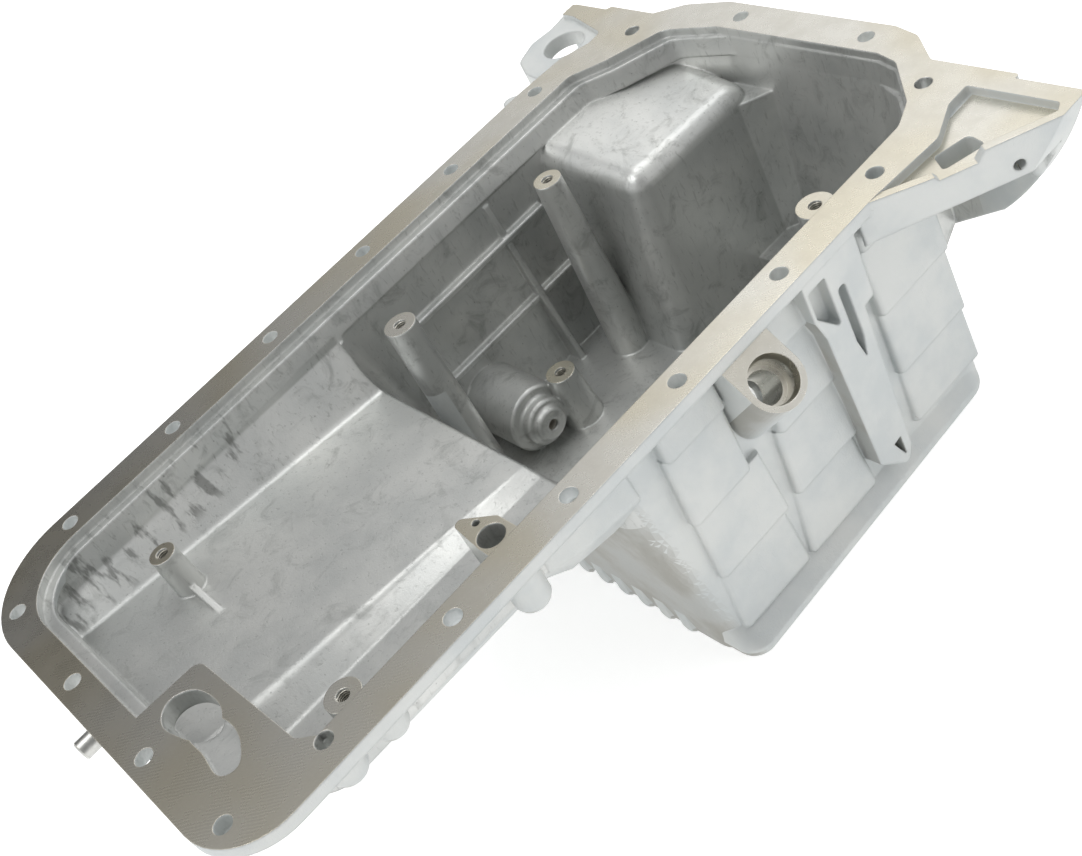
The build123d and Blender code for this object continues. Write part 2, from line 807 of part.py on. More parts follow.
def corner_plate():
    """Flat plate that closes the front right corner of the opening, with its rough oval hole."""
    with BuildPart() as plate:
        with BuildSketch():
            with BuildLine():
                closed_outline((
                    (-226.0, -25.5, 0.0), (-183.0, -28.2, 6.0), (-181.0, -106.0, 5.0),
                    (-171.0, -118.0, 0.0), (-226.0, -118.0, 0.0),
                ))
            make_face()
            with BuildLine():
                Spline(*CORNER_HOLE, periodic=True)
            make_face(mode=Mode.SUBTRACT)
        extrude(amount=-10.0)
        with BuildSketch():
            with BuildLine():
                Spline(*CORNER_RELIEF, periodic=True)
            make_face()
        extrude(amount=-2.0, mode=Mode.SUBTRACT)
    return plate.part


def pin_boss():
    """Round boss on the front of the flange that holds the locating pin."""
    with BuildPart() as boss:
        with BuildSketch(Plane.YZ.offset(FRONT_EDGE)):
            with Locations((PIN_Y, PIN_Z)):
                Circle(PIN_RADIUS + 3.5)
        extrude(amount=23.0, taper=-2.0)
    return boss.part


def pin_hole():
    """Blind hole that the locating pin is pressed into."""
    with BuildPart() as hole:
        with BuildSketch(Plane.YZ.offset(FRONT_EDGE - 1.0)):
            with Locations((PIN_Y, PIN_Z)):
                Circle(PIN_RADIUS + PIN_GAP)
        extrude(amount=PIN_END + PIN_LENGTH - FRONT_EDGE + 1.5)
    return hole.part


# Outside of the casting
with BuildPart() as outside:
    add(flange_plate())
    add(tray_body(TRAY_FRONT - WALL, TRAY_REAR + 10.0, -4.0, WALL, 8.0))
    add(tray_shoulder())
    add(tray_haunch())
    add(sump_body(-4.0, UNDERSIDE + 2.0, WALL, SHELF_FLOOR - FLOOR_SKIN, DEEP_FLOOR - FLOOR_SKIN + 1.0, 16.0))
    add(chamber_body(WALL, -4.0, CHAMBER_FLOOR - WALL))
    add(bell_plate())
    add(bell_webs())
    add(wing_body())
    add(side_lugs())
    for x, y, radius, depth in KNOBS:
        add(flange_knob(x, y, radius, depth))
    add(underside_beads())
    add(sump_foot())
    add(shingle_stack(
        FRONT_STEPS,
        ((12.0, 11.0), (10.5, 8.5), (10.0, 8.5), (9.0, 7.0)),
        ((50.5, 50.3), (50.3, 48.1), (57.0, 58.0), (56.0, 56.5)),
    ))
    add(shingle_stack(
        MIDDLE_STEPS,
        ((86.0, 84.0), (74.0, 70.0), (69.0, 64.8), (64.5, 58.0)),
        ((103.0, 111.0), (111.5, 110.5), (111.8, 110.8), (109.0, 110.7)),
    ))
    add(shingle_stack(
        REAR_STEPS,
        ((151.0, 150.0), (150.0, 149.0), (149.5, 148.0), (149.0, 147.0)),
        ((204.0, 203.5), (203.5, 202.5), (202.5, 201.5), (201.5, 200.5)),
    ))
    add(port_boss())
    add(bracket_pad())
    add(pin_boss())

# Space that the sand core leaves inside
with BuildPart() as core:
    with BuildSketch(Plane.XY.offset(1.0)):
        with BuildLine():
            closed_outline(opening_rows(0.0, 0.0, 0.0, 0.0, 40.0))
        make_face()
    extrude(amount=LEDGE_Z - 1.0)
    with BuildSketch(Plane.XY.offset(LEDGE_Z)):
        with BuildLine():
            closed_outline(opening_rows(LEFT_LEDGE, LEFT_LEDGE, SLIGHT_IN, 0.5, 34.0))
        make_face()
    with BuildSketch(Plane.XY.offset(BAND_Z)):
        with BuildLine():
            closed_outline(opening_rows(LEFT_BAND, LEFT_BAND - 1.0, SLIGHT_IN, SLIGHT_IN, 8.0))
        make_face()
    loft()
    add(tray_body(TRAY_FRONT, TRAY_REAR, BAND_Z + 8.0, 0.0, 5.0))
    add(sump_body(BAND_Z + 2.0, DEEP_FLOOR - 4.0, 0.0, SHELF_FLOOR, DEEP_FLOOR, 12.0))
    add(chamber_body(0.0, BAND_Z + 2.0, CHAMBER_FLOOR))

# Posts and ribs inside, kept within the outer skin
with BuildPart() as fittings:
    for x, y, top_radius, foot_radius, top_z, foot_z in POSTS:
        add(post(x, y, top_radius, foot_radius, top_z, foot_z))
    add(inside_ribs())
    add(stepped_boss())
    add(hump_body(0.0, -138.0, -27.0, 12.0, 1.0, 260.0))
    add(hump_corner())
    add(outside.part, mode=Mode.INTERSECT)

with BuildPart() as casting:
    add(outside.part)
    add(core.part, mode=Mode.SUBTRACT)
    add(fittings.part)
    add(corner_plate())
    add(hump_body(WALL, -138.0, -27.0 - WALL, 7.0, 40.0, BELL_FRONT - WALL), mode=Mode.SUBTRACT)
    add(post_taps(), mode=Mode.SUBTRACT)
    add(bolt_holes(), mode=Mode.SUBTRACT)
    add(pin_hole(), mode=Mode.SUBTRACT)
    add(port_bore(), mode=Mode.SUBTRACT)

with BuildPart() as pin:
    with BuildSketch(Plane.YZ.offset(PIN_END)):
        with Locations((PIN_Y, PIN_Z)):
            Circle(PIN_RADIUS)
    extrude(amount=PIN_LENGTH)
    chamfer(pin.part.edges().filter_by(GeomType.CIRCLE), length=EDGE_BREAK)

os.makedirs("parts", exist_ok=True)
casting.part.label = "oil_pan_casting"
pin.part.label = "locating_pin"
export_step(casting.part, "parts/oil_pan_casting.step")
export_step(pin.part, "parts/locating_pin.step")
print("casting solids", len(casting.part.solids()), "volume cm3", round(casting.part.volume / 1000.0, 1))
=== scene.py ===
# %% [markdown]
# # An engine oil pan in cast aluminium
# The real part is one aluminium casting with a milled joint face, and a short steel pin pressed into
# its front edge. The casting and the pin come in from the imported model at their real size, in metres.
# Blender could rebuild them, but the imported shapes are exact, so this lesson leaves them alone and
# gives them their finish, adds the threads that are too fine for the solids, and lights the part.

# %% Load the frame
import math

import bpy
from mathutils import Matrix, Vector


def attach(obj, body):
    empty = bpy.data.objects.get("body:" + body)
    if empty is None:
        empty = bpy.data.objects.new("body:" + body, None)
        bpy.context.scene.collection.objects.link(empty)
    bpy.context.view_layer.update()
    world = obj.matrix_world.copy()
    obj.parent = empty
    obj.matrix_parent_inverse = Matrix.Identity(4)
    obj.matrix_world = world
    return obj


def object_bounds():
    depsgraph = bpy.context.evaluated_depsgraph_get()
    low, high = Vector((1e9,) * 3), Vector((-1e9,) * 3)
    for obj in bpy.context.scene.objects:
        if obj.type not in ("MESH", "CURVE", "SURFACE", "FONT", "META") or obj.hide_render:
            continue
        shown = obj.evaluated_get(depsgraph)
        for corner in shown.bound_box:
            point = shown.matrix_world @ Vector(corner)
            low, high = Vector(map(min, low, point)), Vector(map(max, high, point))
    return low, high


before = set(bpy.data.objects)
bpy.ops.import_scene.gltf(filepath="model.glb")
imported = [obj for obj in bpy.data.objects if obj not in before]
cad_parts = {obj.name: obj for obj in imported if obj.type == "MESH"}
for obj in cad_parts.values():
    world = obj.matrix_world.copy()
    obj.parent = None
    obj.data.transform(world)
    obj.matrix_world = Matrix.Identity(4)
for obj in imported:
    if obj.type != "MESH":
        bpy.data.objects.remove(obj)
cad_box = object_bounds()
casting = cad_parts["oil_pan_casting"]
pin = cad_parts["locating_pin"]
print("nodes", sorted(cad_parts), "casting faces", len(casting.data.polygons))

# %% [markdown]
# ## Colours
# Shaders work with linear light, while a picked colour is in sRGB. One function turns a hex
# colour to linear, so that every colour below can be written as it looks.


# %% Hex colours to linear
def linear(hex_colour):
    """Linear red, green, blue and alpha of an sRGB hex colour."""
    parts = [int(hex_colour[n:n + 2], 16) / 255 for n in (1, 3, 5)]
    return [c / 12.92 if c <= 0.04045 else ((c + 0.055) / 1.055) ** 2.4 for c in parts] + [1.0]


print("mid grey", [round(c, 3) for c in linear("#808080")])

# %% [markdown]
# ## Building node trees
# A tree is a set of nodes and links. One small function adds a node with its settings, its input
# values and its links in one go, and hands back the node. Given a whole node as an input, it links
# that node's first output in use, which keeps long trees readable.


# %% One function that adds a node
def put(tree, kind, inputs=None, **settings):
    """Add a node; an input may be a value, a socket, or a node whose first live output is linked."""
    node = tree.nodes.new(kind)
    for name, value in settings.items():
        setattr(node, name, value)
    for key, value in (inputs or {}).items():
        if isinstance(value, bpy.types.Node):
            value = next(socket for socket in value.outputs if socket.enabled)
        if isinstance(value, bpy.types.NodeSocket):
            tree.links.new(value, node.inputs[key])
        else:
            node.inputs[key].default_value = value
    return node


def new_material(name):
    """An empty node material and its tree."""
    material = bpy.data.materials.new(name)
    material.use_nodes = True
    material.node_tree.nodes.clear()
    return material, material.node_tree


alloy, tree = new_material("Cast aluminium alloy, blasted, with milled flats")
print("material", alloy.name)

# %% [markdown]
# ## What the alloy reads
# The part is cast aluminium alloy. One material holds its three finishes, because they share one
# mesh: blasted outside, smoother skin inside, and milled flats. It reads where a point lies on the
# object and which way its face points, so the finish stays in place from every side.

# %% Place and direction
place = put(tree, "ShaderNodeTexCoord").outputs["Object"]
axes = put(tree, "ShaderNodeSeparateXYZ", {0: place}).outputs
normal = put(tree, "ShaderNodeNewGeometry").outputs["True Normal"]
facing = put(tree, "ShaderNodeSeparateXYZ", {0: normal}).outputs
print("reads", axes.keys(), facing.keys())

# %% [markdown]
# ## Masks from tests
# A mask is 1 where a finish lies and 0 elsewhere. Masks could be painted, but a painted mask needs
# an image, so each one here is a row of plain tests, all of which have to hold.


# %% One function that joins tests
def where(*tests):
    """Mask that is 1 where every test holds; a test is a value, a comparison and its limit."""
    mask = None
    for value, comparison, limit in tests:
        test = put(tree, "ShaderNodeMath", {0: value, 1: limit}, operation=comparison)
        mask = put(tree, "ShaderNodeMath", {0: mask, 1: test}, operation="MULTIPLY") if mask else test
    return mask


OVER = "GREATER_THAN"
UNDER = "LESS_THAN"
print("comparisons", OVER, UNDER)

# %% [markdown]
# ## Milled flats that point up
# After casting, the joint face, the tops of the posts and the web of the wing are milled flat. They
# are found by their height and because they point straight up.

# %% Masks of the flats that point up
STRAIGHT = 0.995
JOINT_LEAST = -0.0004
POST_TOP = -0.010
LOW_POST_TOP = -0.100
TOP_REACH = 0.0002
WEB_FRONT = 0.15
WEB_SIDE = -0.13
WEB_LEAST = -0.03

up = (facing["Z"], OVER, STRAIGHT)
joint = where(up, (axes["Z"], OVER, JOINT_LEAST))
post_tops = [where(up, (axes["Z"], OVER, top - TOP_REACH), (axes["Z"], UNDER, top + TOP_REACH))
             for top in (POST_TOP, LOW_POST_TOP)]
web = where(up, (axes["X"], OVER, WEB_FRONT), (axes["Y"], UNDER, WEB_SIDE), (axes["Z"], OVER, WEB_LEAST))
print("post tops at", POST_TOP, LOW_POST_TOP)

# %% [markdown]
# ## The sloping port and the gearbox face
# The sensor port is cut on a slope of 45 degrees. Its face is found by the direction it points in,
# and its bores by their distance from the sloping axis. The gearbox face is a flat that points back.

# %% Masks of the port and the gearbox face
PORT_CENTRE = Vector((0.0663, -0.1447, -0.0213))
PORT_AXIS = Vector((0.0, -math.sqrt(0.5), math.sqrt(0.5)))
PORT_HALF_WIDTH = 0.0158
PORT_SIDE = -0.125
PORT_LEAST = -0.045
BORE_RADIUS = 0.0124
BORE_SIDE = -0.118
GEARBOX_FACE = 0.250

slope = put(tree, "ShaderNodeVectorMath", {0: normal, 1: PORT_AXIS}, operation="DOT_PRODUCT")
port = where((slope.outputs["Value"], OVER, STRAIGHT), (axes["X"], OVER, PORT_CENTRE.x - PORT_HALF_WIDTH),
             (axes["X"], UNDER, PORT_CENTRE.x + PORT_HALF_WIDTH),
             (axes["Y"], UNDER, PORT_SIDE), (axes["Z"], OVER, PORT_LEAST))
arm = put(tree, "ShaderNodeVectorMath", {0: place, 1: PORT_CENTRE}, operation="SUBTRACT")
off_axis = put(tree, "ShaderNodeVectorMath", {0: arm, 1: PORT_AXIS}, operation="CROSS_PRODUCT")
radius = put(tree, "ShaderNodeVectorMath", {0: off_axis}, operation="LENGTH").outputs["Value"]
bore = where((radius, UNDER, BORE_RADIUS), (axes["Y"], UNDER, BORE_SIDE))
gearbox = where((axes["X"], OVER, GEARBOX_FACE - TOP_REACH), (axes["X"], UNDER, GEARBOX_FACE + TOP_REACH),
                (facing["X"], OVER, STRAIGHT))
print("port axis", [round(c, 3) for c in PORT_AXIS])

# %% [markdown]
# The finish needs one mask for all the milled places, so it takes the greatest of them.

# %% All that is milled
milled = joint
others = (*post_tops, port, bore, gearbox, web)
for mask in others:
    milled = put(tree, "ShaderNodeMath", {0: milled, 1: mask}, operation="MAXIMUM")
print("joint face and", len(others), "other milled places")

# %% [markdown]
# ## Inside and outside
# The inside was formed by a core and keeps its smooth skin, the outside was blasted. The inside is
# all that lies between the walls and doesn't face down. The sump's front wall stands back under the
# tray, between those walls, so it is taken out again.

# %% Mask of the inside
INSIDE_RIGHT = -0.1165
INSIDE_LEFT = 0.1145
INSIDE_FRONT = -0.2185
INSIDE_REAR = 0.2525
DOWNWARD = -0.3
FORWARD = -0.3
SUMP_FRONT = 0.02
TRAY_UNDERSIDE = -0.055

between_walls = where((axes["Y"], OVER, INSIDE_RIGHT), (axes["Y"], UNDER, INSIDE_LEFT),
                      (facing["Z"], OVER, DOWNWARD), (axes["X"], UNDER, INSIDE_REAR),
                      (axes["X"], OVER, INSIDE_FRONT))
sump_front = where((facing["X"], UNDER, FORWARD), (axes["X"], UNDER, SUMP_FRONT),
                   (axes["Z"], UNDER, TRAY_UNDERSIDE))
not_sump_front = put(tree, "ShaderNodeMath", {0: 1.0, 1: sump_front}, operation="SUBTRACT")
inside = put(tree, "ShaderNodeMath", {0: between_walls, 1: not_sump_front}, operation="MULTIPLY")
print("inside from X", INSIDE_FRONT, "to", INSIDE_REAR)

# %% [markdown]
# ## Real sizes of the pattern
# A noise texture's scale is one over the size of its features in metres. Writing the sizes first, as
# they were judged on the photograph, keeps the pattern at its real scale on every side of the part.

# %% Pattern sizes in metres
SKIN_GRAIN = 0.0012
FINE_GRAIN = 0.0005
CLOUD = 0.050
SMEAR = 0.016
SCRATCH = 0.0022
PORE = 0.006
DRAG_MARK = 0.0055
WARM_CLOUD = 0.11
MOTTLE = 0.014
SPECKLE = 0.0008
CUTTER_LINE = 0.0011
CAST_EDGE = 0.0022
CUT_EDGE = 0.0006
WAVE_TO_SIZE = 0.314
print("grain scale", round(1 / SKIN_GRAIN), "cloud scale", round(1 / CLOUD))

# %% [markdown]
# ## Patterns of the cast skin
# Soft clouds come from the way the alloy froze, dark smears from the core's coating, fine strokes
# from handling, and small pores from gas. A smooth step turns each noise to a mask. The strokes are
# stretched by a mapping, so that they run one way.

# %% Clouds, smears and strokes
STROKE_TURN = (0.3, 0.5, 0.9)
STROKE_STRETCH = (1.0, 1.0, 0.22)

cloud_noise = put(tree, "ShaderNodeTexNoise", {"Vector": place, "Scale": 1 / CLOUD, "Detail": 4.0,
                                               "Roughness": 0.6, "Distortion": 0.0})
clouds = put(tree, "ShaderNodeMapRange", {"Value": cloud_noise, "From Min": 0.35, "From Max": 0.65},
             interpolation_type="SMOOTHSTEP")
smear_noise = put(tree, "ShaderNodeTexNoise", {"Vector": place, "Scale": 1 / SMEAR, "Detail": 5.0,
                                               "Roughness": 0.68, "Distortion": 0.8})
smears = put(tree, "ShaderNodeMapRange", {"Value": smear_noise, "From Min": 0.50, "From Max": 0.72},
             interpolation_type="SMOOTHSTEP")
along = put(tree, "ShaderNodeMapping", {"Vector": place, "Rotation": STROKE_TURN, "Scale": STROKE_STRETCH})
stroke_noise = put(tree, "ShaderNodeTexNoise", {"Vector": along, "Scale": 1 / SCRATCH, "Detail": 3.0,
                                                "Roughness": 0.6, "Distortion": 0.4})
strokes = put(tree, "ShaderNodeMapRange", {"Value": stroke_noise, "From Min": 0.56, "From Max": 0.74},
              interpolation_type="SMOOTHSTEP")
print("strokes", SCRATCH * 1000, "mm apart")

# %% [markdown]
# Pores are the middles of Voronoi cells, a few millimetres apart. The grain comes in two sizes, and
# the finer one is drawn at the smallest size that still shows in the picture.

# %% Pores and grain
cells = put(tree, "ShaderNodeTexVoronoi", {"Vector": place, "Scale": 1 / PORE}).outputs["Distance"]
pores = put(tree, "ShaderNodeMapRange", {"Value": cells, "From Min": 0.10, "From Max": 0.05},
            interpolation_type="SMOOTHSTEP")
grain = put(tree, "ShaderNodeTexNoise", {"Vector": place, "Scale": 1 / SKIN_GRAIN, "Detail": 3.0,
                                         "Roughness": 0.5, "Distortion": 0.0})
fine = put(tree, "ShaderNodeTexNoise", {"Vector": place, "Scale": 1 / FINE_GRAIN, "Detail": 2.0,
                                        "Roughness": 0.5, "Distortion": 0.0})
print("pores", PORE * 1000, "mm apart")

# %% [markdown]
# ## Drag marks on the tray's left band
# Dark strokes run across the sloping band at the left of the tray, where the core was pulled. They
# are noise stretched across the band, kept to it by smooth limits along all three axes.

# %% Drag marks
BAND_LIMITS = (("Y", 0.084, 0.090), ("X", -0.050, -0.080), ("Z", -0.034, -0.028), ("Z", -0.003, -0.007))
DRAG_STRETCH = (1.0, 0.3, 0.3)

drag_place = put(tree, "ShaderNodeMapping", {"Vector": place, "Scale": DRAG_STRETCH})
drag_noise = put(tree, "ShaderNodeTexNoise", {"Vector": drag_place, "Scale": 1 / DRAG_MARK, "Detail": 3.0,
                                              "Roughness": 0.6, "Distortion": 0.0})
drags = put(tree, "ShaderNodeMapRange", {"Value": drag_noise, "From Min": 0.52, "From Max": 0.66},
            interpolation_type="SMOOTHSTEP")
drags = put(tree, "ShaderNodeMath", {0: drags, 1: inside}, operation="MULTIPLY")
for axis, low, high in BAND_LIMITS:
    limit = put(tree, "ShaderNodeMapRange", {"Value": axes[axis], "From Min": low, "From Max": high},
                interpolation_type="SMOOTHSTEP")
    drags = put(tree, "ShaderNodeMath", {0: drags, 1: limit}, operation="MULTIPLY")
print("drag marks kept by", len(BAND_LIMITS), "limits")

# %% [markdown]
# ## Cast colours
# Blasted aluminium is pale and even. The faces that look forward get a warmer, darker tone, which is
# painted shade. The inside starts nearly as pale, and each kind of mark darkens it by its own share.

# %% Outside
FORWARD_LEAST, FORWARD_MOST, NOT_UP = -0.25, -0.95, -0.02
outer = put(tree, "ShaderNodeMix", {0: clouds, 6: linear("#ccd0d0"), 7: linear("#d8dad8")}, data_type="RGBA")
# Painted shade: faces that look forward and not up are mixed towards a warmer, darker grey.
painted_front_shade = put(tree, "ShaderNodeMapRange", {"Value": facing["X"], "From Min": FORWARD_LEAST,
                                           "From Max": FORWARD_MOST}, interpolation_type="SMOOTHSTEP")
not_up = where((facing["Z"], UNDER, NOT_UP))
painted_front_shade = put(tree, "ShaderNodeMath", {0: painted_front_shade, 1: not_up}, operation="MULTIPLY")
uneven = put(tree, "ShaderNodeMapRange", {"Value": clouds, "To Min": 0.5, "To Max": 0.9},
             interpolation_type="SMOOTHSTEP")
painted_front_shade = put(tree, "ShaderNodeMath", {0: painted_front_shade, 1: uneven}, operation="MULTIPLY")
outer = put(tree, "ShaderNodeMix", {0: painted_front_shade, 6: outer, 7: linear("#a9a7a0")}, data_type="RGBA")
print("outside", [round(c, 2) for c in linear("#ccd0d0")[:3]])

# %% [markdown]
# The inside is layered like the real skin: the clean metal first, then each kind of mark over it.

# %% Inside
MARKS = ((smears, 0.45, "#7d7f7c"), (strokes, 0.30, "#6f706d"), (pores, 0.35, "#5d5e5b"),
         (drags, 0.6, "#50514d"))
inner = put(tree, "ShaderNodeMix", {0: clouds, 6: linear("#bfc1bf"), 7: linear("#cfd0cd")}, data_type="RGBA")
for mask, share, hex_colour in MARKS:
    factor = put(tree, "ShaderNodeMath", {0: mask, 1: share}, operation="MULTIPLY")
    inner = put(tree, "ShaderNodeMix", {0: factor, 6: inner, 7: linear(hex_colour)}, data_type="RGBA")
cast = put(tree, "ShaderNodeMix", {0: inside, 6: outer, 7: inner}, data_type="RGBA")
print("marks", [hex_colour for _, _, hex_colour in MARKS])

# %% [markdown]
# ## Milled colour
# A milled flat is brighter and slightly warm. Oil and handling leave it mottled, and single grains
# of the alloy shine as speckles.

# %% Milled flats
mottle_noise = put(tree, "ShaderNodeTexNoise", {"Vector": place, "Scale": 1 / MOTTLE, "Detail": 4.0,
                                                "Roughness": 0.62, "Distortion": 0.0})
mottle = put(tree, "ShaderNodeMapRange", {"Value": mottle_noise, "From Min": 0.30, "From Max": 0.76},
             interpolation_type="SMOOTHSTEP")
speckle_noise = put(tree, "ShaderNodeTexNoise", {"Vector": place, "Scale": 1 / SPECKLE, "Detail": 1.0,
                                                 "Roughness": 0.5, "Distortion": 0.0})
speckle = put(tree, "ShaderNodeMapRange", {"Value": speckle_noise, "From Min": 0.66, "From Max": 0.74},
              interpolation_type="SMOOTHSTEP")
warm_noise = put(tree, "ShaderNodeTexNoise", {"Vector": place, "Scale": 1 / WARM_CLOUD, "Detail": 2.0,
                                              "Roughness": 0.5, "Distortion": 0.0})
warm = put(tree, "ShaderNodeMapRange", {"Value": warm_noise, "From Min": 0.40, "From Max": 0.60},
           interpolation_type="SMOOTHSTEP")
cut = put(tree, "ShaderNodeMix", {0: warm, 6: linear("#e2e0d8"), 7: linear("#dcd6c4")}, data_type="RGBA")
for mask, share, hex_colour in ((mottle, 0.26, "#aea89a"), (speckle, 0.35, "#f3f1e6")):
    factor = put(tree, "ShaderNodeMath", {0: mask, 1: share}, operation="MULTIPLY")
    cut = put(tree, "ShaderNodeMix", {0: factor, 6: cut, 7: linear(hex_colour)}, data_type="RGBA")
colour = put(tree, "ShaderNodeMix", {0: milled, 6: cast, 7: cut}, data_type="RGBA")
print("milled", [round(c, 2) for c in linear("#e2e0d8")[:3]])

# %% [markdown]
# ## Shine
# Blasting leaves a matt face, the core skin is shinier, and a cutter leaves it shinier still. A cast
# skin is an oxide film over metal, so it is only partly metallic, while fresh milled metal is fully so.

# %% Roughness and metal share
OUTSIDE_ROUGH, INSIDE_ROUGH, SMEAR_ROUGH, STROKE_ROUGH = 0.62, 0.34, 0.46, 0.08
MILLED_ROUGH, MOTTLE_ROUGH = 0.26, 0.30
OUTSIDE_METAL, INSIDE_METAL = 0.60, 0.70

inner_rough = put(tree, "ShaderNodeMix", {0: smears, 2: INSIDE_ROUGH, 3: SMEAR_ROUGH}, data_type="FLOAT")
stroke_rough = put(tree, "ShaderNodeMath", {0: strokes, 1: STROKE_ROUGH}, operation="MULTIPLY")
inner_rough = put(tree, "ShaderNodeMath", {0: inner_rough, 1: stroke_rough}, operation="ADD")
cast_rough = put(tree, "ShaderNodeMix", {0: inside, 2: OUTSIDE_ROUGH, 3: inner_rough}, data_type="FLOAT")
cut_rough = put(tree, "ShaderNodeMix", {0: mottle, 2: MILLED_ROUGH, 3: MOTTLE_ROUGH}, data_type="FLOAT")
roughness = put(tree, "ShaderNodeMix", {0: milled, 2: cast_rough, 3: cut_rough}, data_type="FLOAT")
cast_metal = put(tree, "ShaderNodeMix", {0: inside, 2: OUTSIDE_METAL, 3: INSIDE_METAL}, data_type="FLOAT")
metallic = put(tree, "ShaderNodeMix", {0: milled, 2: cast_metal, 3: 1.0}, data_type="FLOAT")
print("roughness outside", OUTSIDE_ROUGH, "inside", INSIDE_ROUGH, "milled", MILLED_ROUGH)

# %% [markdown]
# ## Relief
# Grain stands a little proud of the cast skin, strokes are cut into it, and the cutter leaves fine
# lines. All of it is too shallow for the mesh, so it is bump.

# %% Height of the skin and of the milled flats
cutter = put(tree, "ShaderNodeTexWave", {
    "Vector": place, "Scale": WAVE_TO_SIZE / CUTTER_LINE, "Distortion": 3.0, "Detail": 1.0,
    "Detail Scale": 0.6}, bands_direction="DIAGONAL").outputs["Fac"]
half_fine = put(tree, "ShaderNodeMath", {0: fine, 1: 0.5}, operation="MULTIPLY")
skin = put(tree, "ShaderNodeMath", {0: grain, 1: half_fine}, operation="ADD")
stroke_depth = put(tree, "ShaderNodeMath", {0: strokes, 1: 0.6}, operation="MULTIPLY")
skin = put(tree, "ShaderNodeMath", {0: skin, 1: stroke_depth}, operation="SUBTRACT")
inner_skin = put(tree, "ShaderNodeMath", {0: skin, 1: 0.6}, operation="MULTIPLY")
skin = put(tree, "ShaderNodeMix", {0: inside, 2: skin, 3: inner_skin}, data_type="FLOAT")
lines = put(tree, "ShaderNodeMath", {0: cutter, 1: 0.06}, operation="MULTIPLY")
cut_grain = put(tree, "ShaderNodeMath", {0: fine, 1: 0.10}, operation="MULTIPLY")
cut_relief = put(tree, "ShaderNodeMath", {0: lines, 1: cut_grain}, operation="ADD")
height = put(tree, "ShaderNodeMix", {0: milled, 2: skin, 3: cut_relief}, data_type="FLOAT")
print("cutter lines", CUTTER_LINE * 1000, "mm apart")

# %% [markdown]
# ## Edges and the finished alloy
# A bevel node turns the normals at the edges. It gives the soft edges of a casting and the thin
# bright line round a milled face without changing the solid.

# %% Finish the alloy
BUMP_STRENGTH = 0.30
BUMP_DEPTH = 0.0004

soft_edge = put(tree, "ShaderNodeBevel", {"Radius": CAST_EDGE}, samples=6)
crisp_edge = put(tree, "ShaderNodeBevel", {"Radius": CUT_EDGE}, samples=4)
rounded = put(tree, "ShaderNodeMix", {0: milled, 4: soft_edge, 5: crisp_edge}, data_type="VECTOR")
bump = put(tree, "ShaderNodeBump", {"Height": height, "Strength": BUMP_STRENGTH, "Distance": BUMP_DEPTH,
                                    "Normal": rounded})
shader = put(tree, "ShaderNodeBsdfPrincipled", {
    "Base Color": colour, "Metallic": metallic, "Roughness": roughness, "Normal": bump})
put(tree, "ShaderNodeOutputMaterial", {0: shader})
casting.data.materials.clear()
casting.data.materials.append(alloy)
print("casting finish", casting.data.materials[0].name, "nodes", len(tree.nodes))

# %% [markdown]
# ## The locating pin
# The pin is ground steel: smoother and a little bluer than the casting, with faint turned rings.
# Rings could be modelled, but they are a few hundredths of a millimetre deep, so bump is enough.

# %% The pin's finish
RING_PITCH = 0.0005
STAIN = 0.004

steel, pin_tree = new_material("Ground steel")
pin_place = put(pin_tree, "ShaderNodeTexCoord").outputs["Object"]
rings = put(pin_tree, "ShaderNodeTexWave", {
    "Vector": pin_place, "Scale": WAVE_TO_SIZE / RING_PITCH, "Distortion": 0.6},
    bands_direction="X").outputs["Fac"]
stain_noise = put(pin_tree, "ShaderNodeTexNoise", {"Vector": pin_place, "Scale": 1 / STAIN, "Detail": 3.0,
                                                   "Roughness": 0.5, "Distortion": 0.0})
stain = put(pin_tree, "ShaderNodeMapRange", {"Value": stain_noise, "From Min": 0.35, "From Max": 0.65},
            interpolation_type="SMOOTHSTEP")
pin_colour = put(pin_tree, "ShaderNodeMix", {0: stain, 6: linear("#b3b3af"), 7: linear("#c6c6c2")},
                 data_type="RGBA")
round_edge = put(pin_tree, "ShaderNodeBevel", {"Radius": CUT_EDGE}, samples=4)
pin_bump = put(pin_tree, "ShaderNodeBump", {"Height": rings, "Strength": 0.15, "Distance": 0.0001,
                                            "Normal": round_edge})
pin_shader = put(pin_tree, "ShaderNodeBsdfPrincipled", {
    "Base Color": pin_colour, "Metallic": 1.0, "Roughness": 0.30, "Normal": pin_bump})
put(pin_tree, "ShaderNodeOutputMaterial", {0: pin_shader})
pin.data.materials.clear()
pin.data.materials.append(steel)
print("pin finish", pin.data.materials[0].name)

# %% [markdown]
# ## Threads in the tapped posts
# The blind holes in the six posts and in the stepped boss are tapped for M8 bolts. A helix of that
# size would be heavy in the solids, so it is added here: Geometry Nodes draws one spiral, sweeps a
# four-cornered ridge along it, sets a copy at each hole and turns it to the hole's axis. A screw
# modifier would work too, but would need one object for each hole.


